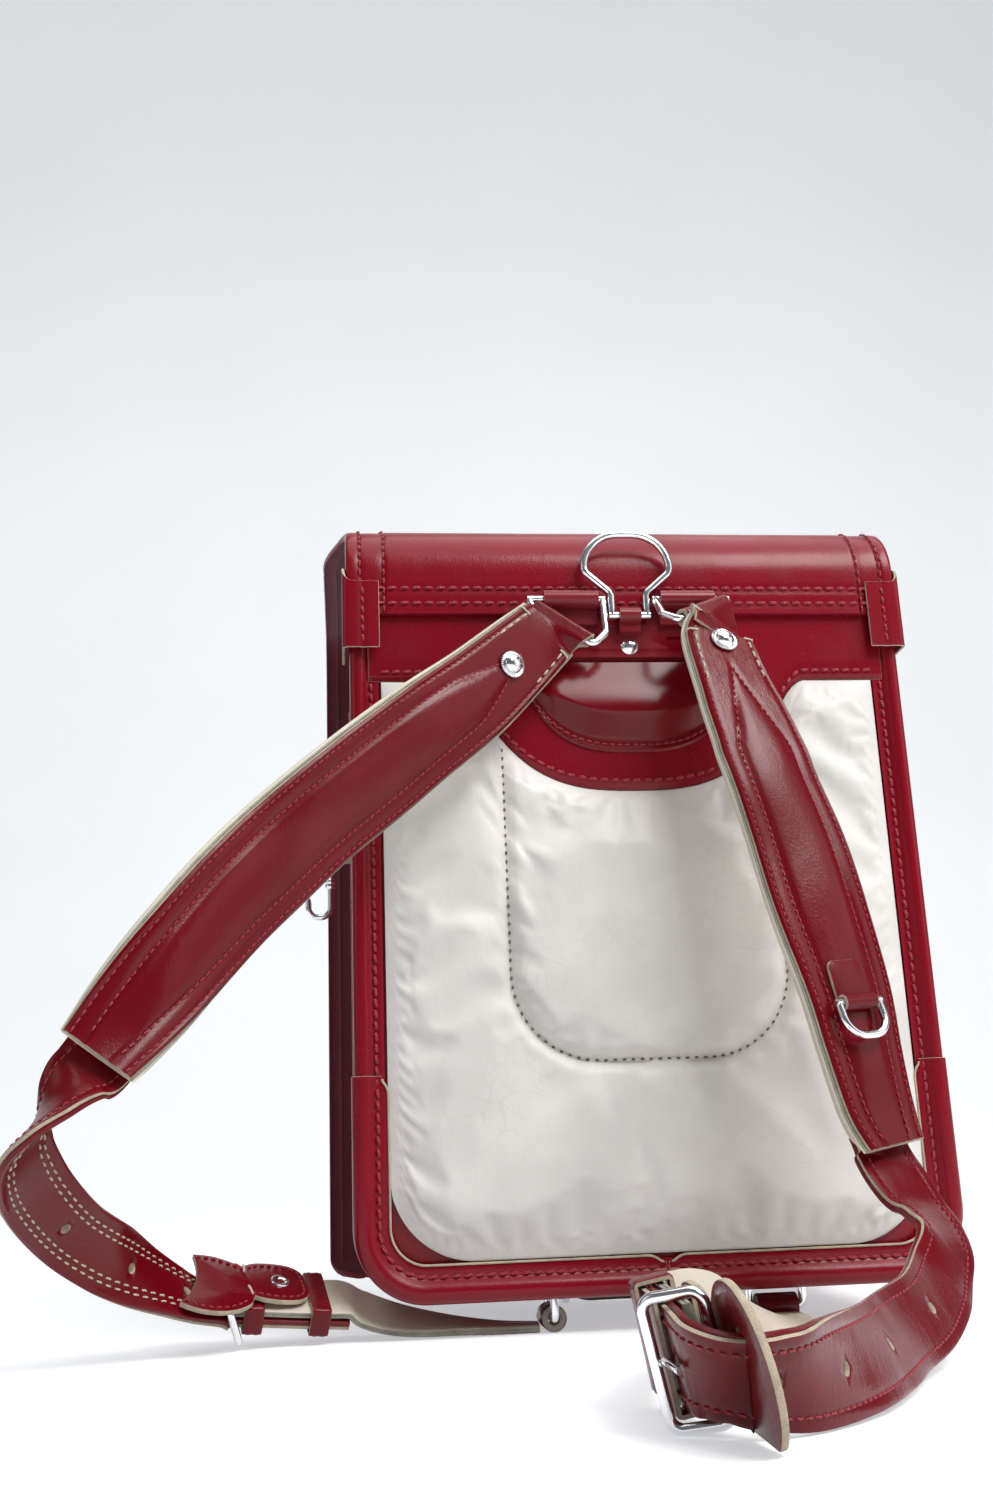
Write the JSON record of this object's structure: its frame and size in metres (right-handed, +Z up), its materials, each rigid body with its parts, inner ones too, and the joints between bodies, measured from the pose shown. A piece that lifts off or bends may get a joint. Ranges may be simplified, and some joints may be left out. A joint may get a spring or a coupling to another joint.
{
  "type": "school backpack",
  "caption": "Hard-sided leather school backpack with a full-length top flap, ivory back cushion, buckled shoulder straps, hang loop and turning lock",
  "frame": {"origin": "on the floor, in the middle of the bag's width, in the plane of the back board's rear face", "axes": "+X to the right seen from the wearer's side, +Y away from the wearer, +Z up"},
  "size_m": [0.3985, 0.4635, 0.368],
  "materials": {
    "red_leather": "smooth satin",
    "ivory_leather": "smooth satin",
    "moulded_red": "satin",
    "tape": "woven",
    "lining": "woven",
    "chrome": "polished"
  },
  "bodies": {
    "bag": {"back_board": "red_leather", "back_rolled_edge": "red_leather", "back_cushion": "ivory_leather", "yoke": "red_leather", "back_rest": "moulded_red", "left_corner_patch": "red_leather", "right_corner_patch": "red_leather", "left_top_cap": "red_leather", "right_top_cap": "red_leather", "strap_bracket": "moulded_red", "bracket_rivet": "chrome", "main_gusset": "red_leather", "front_board": "red_leather", "front_rolled_edge": "red_leather", "small_gusset": "red_leather", "small_front": "red_leather", "front_pocket": "red_leather", "zip_tapes": "tape", "lock_base": "chrome", "flap_root": "red_leather", "left_lower_ring": "chrome", "right_lower_ring": "chrome", "side_hook_tab": "red_leather"},
    "left_ring": {"left_strap_ring": "chrome"},
    "right_ring": {"right_strap_ring": "chrome"},
    "loop": {"hang_loop": "chrome"},
    "zip_slide_body": {"zip_slider": "chrome"},
    "zip_tag": {"zip_pull": "chrome"},
    "knob": {"lock_knob": "chrome"},
    "flap_top_panel": {"flap_top": "red_leather"},
    "flap_front_panel": {"flap_front": "red_leather", "flap_lining": "lining"},
    "flap_tongue": {"tongue": "red_leather", "tongue_plate": "chrome"},
    "hook": {"side_hook": "chrome"},
    "left_strap": {"left_strap_fold": "red_leather", "left_strap_rivet": "chrome", "left_strap_face": "red_leather", "left_strap_backing": "ivory_leather", "left_belt": "red_leather", "left_lower_belt": "ivory_leather", "left_belt_eye": "red_leather", "left_buckle_frame": "chrome", "left_buckle_prong": "chrome", "left_buckle_leather": "red_leather", "left_keepers": "red_leather"},
    "right_strap": {"right_strap_fold": "red_leather", "right_strap_rivet": "chrome", "right_strap_face": "red_leather", "right_strap_backing": "ivory_leather", "right_belt": "red_leather", "right_lower_belt": "ivory_leather", "right_belt_eye": "red_leather", "right_buckle_frame": "chrome", "right_buckle_prong": "chrome", "right_buckle_leather": "red_leather", "right_keepers": "red_leather", "d_ring_tab": "red_leather"},
    "strap_d_ring": {"d_ring": "chrome"}
  },
  "joints": [
    {"name": "flap_hinge", "type": "hinge", "parent": "bag", "child": "flap_top_panel", "pos_m": [0, 0.02395, 0.368], "axis": [1, 0, 0], "range_deg": [0, 105]},
    {"name": "flap_front_bend", "type": "hinge", "parent": "flap_top_panel", "child": "flap_front_panel", "pos_m": [0, 0.15265, 0.368], "axis": [1, 0, 0], "range_deg": [0, 75]},
    {"name": "tongue_fold", "type": "hinge", "parent": "flap_front_panel", "child": "flap_tongue", "pos_m": [0, 0.1725, 0.01363], "axis": [1, 0, 0], "range_deg": [-15, 30]},
    {"name": "lock_knob_turn", "type": "hinge", "parent": "bag", "child": "knob", "pos_m": [0, 0.1485, 0.0093], "axis": [0, 0, 1], "range_deg": [0, 90]},
    {"name": "hang_loop_fold", "type": "hinge", "parent": "bag", "child": "loop", "pos_m": [0, -0.0108, 0.314], "axis": [1, 0, 0], "range_deg": [0, 80]},
    {"name": "left_ring_turn", "type": "hinge", "parent": "bag", "child": "left_ring", "pos_m": [-0.0292, -0.0108, 0.322], "axis": [1, 0, 0], "range_deg": [-4, 4]},
    {"name": "right_ring_turn", "type": "hinge", "parent": "bag", "child": "right_ring", "pos_m": [0.0292, -0.0108, 0.322], "axis": [1, 0, 0], "range_deg": [-4, 4]},
    {"name": "left_strap_swing", "type": "hinge", "parent": "bag", "child": "left_strap", "pos_m": [-0.038, -0.008, 0.16], "axis": [0, 0, 1], "range_deg": [-8, 15], "deforming": ["left_strap_fold", "left_belt_eye"]},
    {"name": "right_strap_swing", "type": "hinge", "parent": "bag", "child": "right_strap", "pos_m": [0.038, -0.008, 0.16], "axis": [0, 0, 1], "range_deg": [-6, 15], "deforming": ["right_strap_fold", "right_belt_eye"]},
    {"name": "d_ring_swing", "type": "hinge", "parent": "right_strap", "child": "strap_d_ring", "pos_m": [0.06785, -0.07702, 0.12579], "axis": [-0.9314, -0.3558, -0.0773], "range_deg": [0, 80]},
    {"name": "side_hook_swing", "type": "hinge", "parent": "bag", "child": "hook", "pos_m": [-0.141, 0.0784, 0.22198], "axis": [0, 1, 0], "range_deg": [-5, 35]},
    {"name": "zip_slide", "type": "slide", "parent": "bag", "child": "zip_slide_body", "axis": [-1, 0, 0], "range_m": [0, 0.17]},
    {"name": "zip_pull_swing", "type": "hinge", "parent": "zip_slide_body", "child": "zip_tag", "pos_m": [0.088, 0.1665, 0.2396], "axis": [1, 0, 0], "range_deg": [0, 12]}
  ]
}
